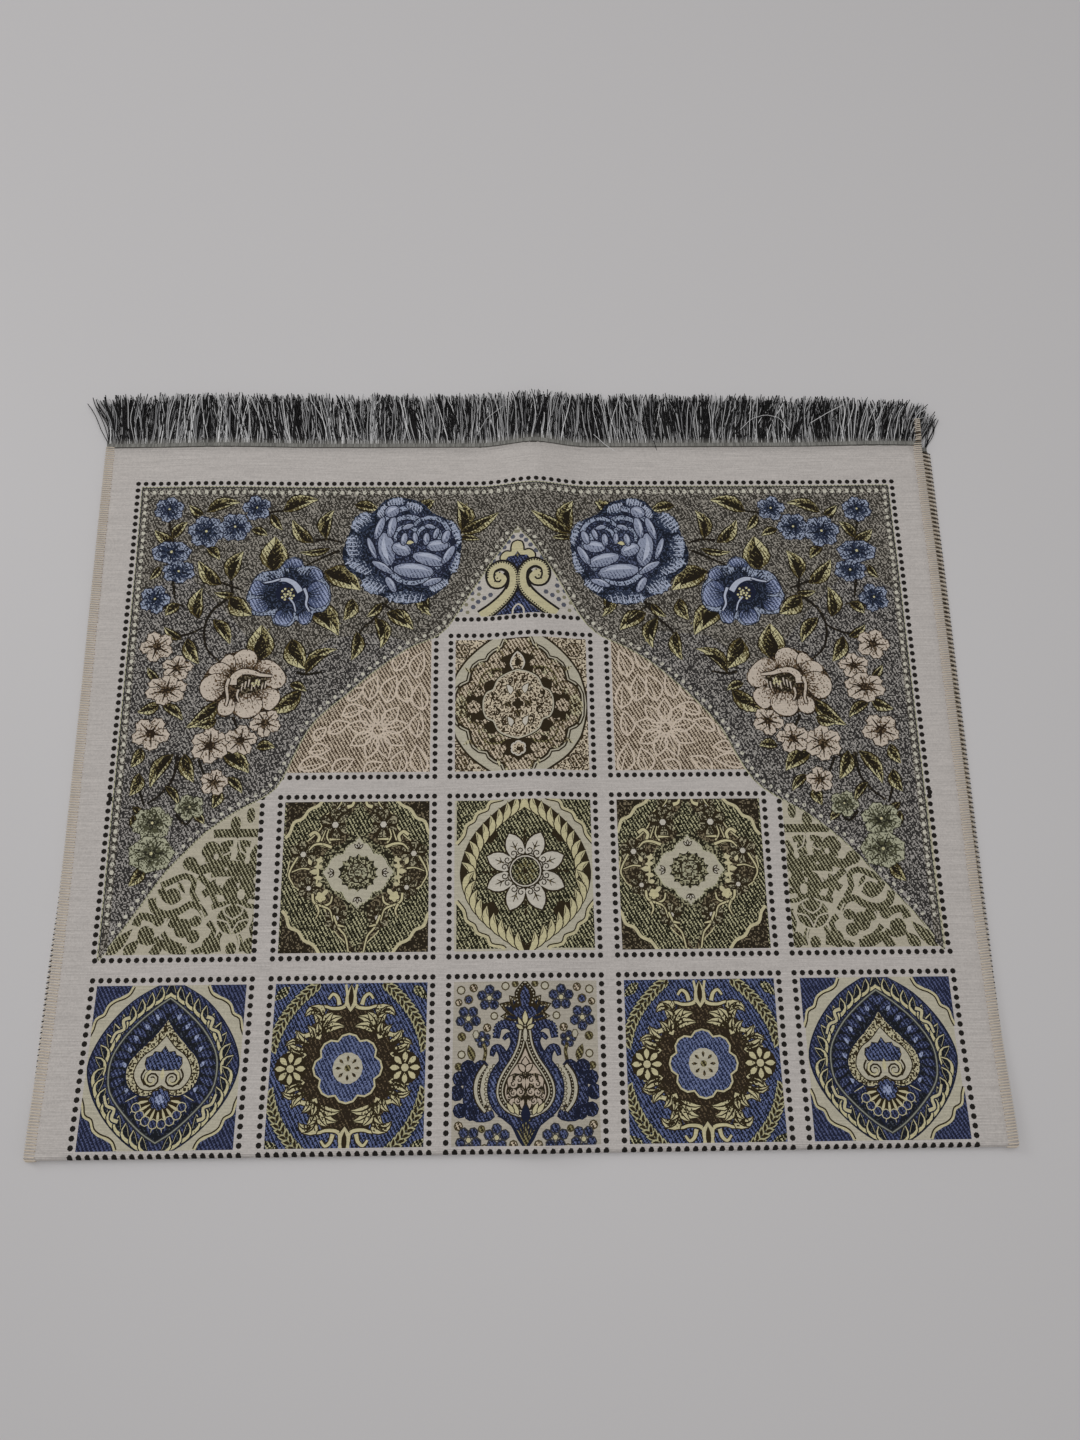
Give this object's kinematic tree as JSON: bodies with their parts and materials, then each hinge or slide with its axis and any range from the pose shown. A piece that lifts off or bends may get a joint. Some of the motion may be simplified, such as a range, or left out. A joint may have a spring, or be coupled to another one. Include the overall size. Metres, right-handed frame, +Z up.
{
  "type": "prayer rug folded in half",
  "caption": "Thin jacquard-woven prayer rug with fringed ends, folded once across its middle and lying flat with its patterned face out and a low lengthwise crease.",
  "frame": {"origin": "on the underside, in the middle of the folded cloth without its fringe: halfway across its width and halfway from the fold to the cut ends", "axes": "+X across the rug's width, to the right as seen from the fold, +Y from the fold towards the fringed ends, +Z up"},
  "size_m": [0.716, 0.6041, 0.0137],
  "materials": {
    "woven_cloth": "matt jacquard weave, fine crosswise ribs",
    "fringe_yarn": "loose twisted yarn in black and pale grey",
    "edge_thread": "soft overlock thread, peach and cream"
  },
  "bodies": {
    "root": {"rug_cloth": "woven_cloth", "fringe_upper": "fringe_yarn", "fringe_lower": "fringe_yarn"}
  },
  "joints": []
}
